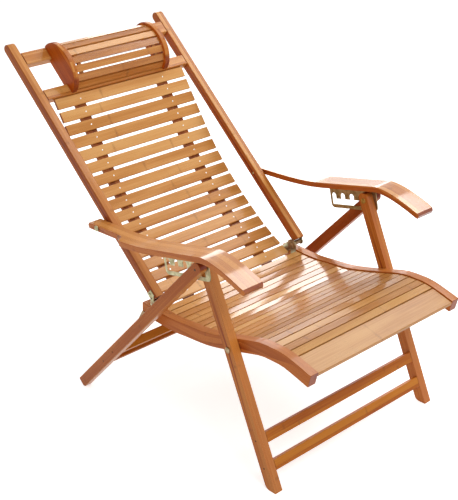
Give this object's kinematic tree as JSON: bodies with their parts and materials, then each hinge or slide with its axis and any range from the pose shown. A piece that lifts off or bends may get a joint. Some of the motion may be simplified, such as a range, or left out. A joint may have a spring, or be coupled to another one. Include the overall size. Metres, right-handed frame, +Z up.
{
  "type": "bamboo folding recliner",
  "caption": "Folding recliner of bamboo slats on crossed legs, with curved armrests, notched combs that set the back's angle, and a slatted headrest.",
  "frame": {"origin": "middle of the footprint box, on the floor", "axes": "+X to the sitter's left, +Y towards the chair's back, +Z up"},
  "size_m": [0.6094, 1.0268, 0.8184],
  "materials": {
    "bamboo": "clear lacquer, semi-gloss",
    "pale_bamboo": "clear lacquer, semi-gloss",
    "leg_bamboo": "clear lacquer, semi-gloss",
    "dark_bamboo": "clear lacquer, semi-gloss",
    "steel": "yellowish plating, satin",
    "brass": "satin"
  },
  "bodies": {
    "front_frame": {"front_leg_right": "leg_bamboo", "front_leg_left": "leg_bamboo", "front_stretcher_lower": "dark_bamboo", "front_stretcher_upper": "dark_bamboo", "top_pin_right": "brass", "top_pin_left": "brass", "seat_bolt_right": "steel", "seat_bolt_left": "steel"},
    "rear_frame": {"rear_leg_right": "leg_bamboo", "rear_leg_left": "leg_bamboo", "rear_stretcher_upper": "dark_bamboo", "rear_stretcher_lower": "dark_bamboo"},
    "seat": {"seat_rail_right": "bamboo", "seat_rail_left": "bamboo", "seat_front_board": "bamboo", "seat_rear_rail": "dark_bamboo", "seat_slats_1": "bamboo", "seat_slats_2": "bamboo", "seat_slats_3": "bamboo", "rail_leaf_right": "steel", "rail_leaf_left": "steel", "hook_plate_right": "steel", "hook_plate_left": "steel"},
    "hinge_pins": {"hinge_pin_right": "steel", "hinge_pin_left": "steel"},
    "back": {"stile_right": "bamboo", "stile_left": "bamboo", "top_crossbar": "bamboo", "neck_crossbar": "bamboo", "low_crossbar": "dark_bamboo", "back_slat_01": "pale_bamboo", "back_slat_02": "pale_bamboo", "back_slat_03": "pale_bamboo", "back_slat_04": "pale_bamboo", "back_slat_05": "pale_bamboo", "back_slat_06": "pale_bamboo", "back_slat_07": "pale_bamboo", "back_slat_08": "pale_bamboo", "back_slat_09": "pale_bamboo", "back_slat_10": "pale_bamboo", "back_slat_11": "pale_bamboo", "back_slat_12": "pale_bamboo", "back_slat_13": "pale_bamboo", "back_slat_14": "pale_bamboo", "back_slat_15": "pale_bamboo", "back_slat_16": "pale_bamboo", "back_slat_17": "pale_bamboo", "back_batten_right": "dark_bamboo", "back_batten_left": "dark_bamboo", "headrest_plate_right": "bamboo", "headrest_plate_left": "bamboo", "headrest_slats": "pale_bamboo", "stile_leaf_right": "steel", "stile_leaf_left": "steel"},
    "right_arm_bolt": {"arm_bolt_right": "steel"},
    "left_arm_bolt": {"arm_bolt_left": "steel"},
    "right_arm": {"arm_right": "bamboo", "comb_right": "steel"},
    "left_arm": {"arm_left": "bamboo", "comb_left": "steel"}
  },
  "joints": [
    {"name": "fold", "type": "hinge", "parent": "front_frame", "child": "seat", "pos_m": [0, -0.29437, 0.30003], "axis": [-1, 0, 0], "range_deg": [0, 60]},
    {"name": "rear_legs_fold", "type": "hinge", "parent": "front_frame", "child": "rear_frame", "pos_m": [0, -0.22172, 0.47202], "axis": [-1, 0, 0], "range_deg": [0, 27.1]},
    {"name": "back_fold", "type": "hinge", "parent": "seat", "child": "hinge_pins", "pos_m": [0, -0.01537, 0.30503], "axis": [1, 0, 0], "range_deg": [0, 52.3]},
    {"name": "recline", "type": "hinge", "parent": "hinge_pins", "child": "back", "pos_m": [0, -0.01537, 0.30503], "axis": [1, 0, 0], "range_deg": [0, 35.5]},
    {"name": "right_arm_fold", "type": "hinge", "parent": "back", "child": "right_arm_bolt", "pos_m": [0, 0.13076, 0.45838], "axis": [-1, 0, 0], "range_deg": [0, 59.44]},
    {"name": "right_arm_recline", "type": "hinge", "parent": "right_arm_bolt", "child": "right_arm", "pos_m": [0, 0.13076, 0.45838], "axis": [-1, 0, 0], "range_deg": [0, 29.21]},
    {"name": "left_arm_fold", "type": "hinge", "parent": "back", "child": "left_arm_bolt", "pos_m": [0, 0.13076, 0.45838], "axis": [-1, 0, 0], "range_deg": [0, 59.44]},
    {"name": "left_arm_recline", "type": "hinge", "parent": "left_arm_bolt", "child": "left_arm", "pos_m": [0, 0.13076, 0.45838], "axis": [-1, 0, 0], "range_deg": [0, 29.21]}
  ],
  "couplings": [
    {"joint": "rear_legs_fold", "follows": "fold", "ratio": 0.45},
    {"joint": "back_fold", "follows": "fold", "ratio": 0.87},
    {"joint": "right_arm_fold", "follows": "fold", "ratio": 0.989},
    {"joint": "right_arm_recline", "follows": "recline", "ratio": 0.82},
    {"joint": "left_arm_fold", "follows": "fold", "ratio": 0.989},
    {"joint": "left_arm_recline", "follows": "recline", "ratio": 0.82}
  ]
}
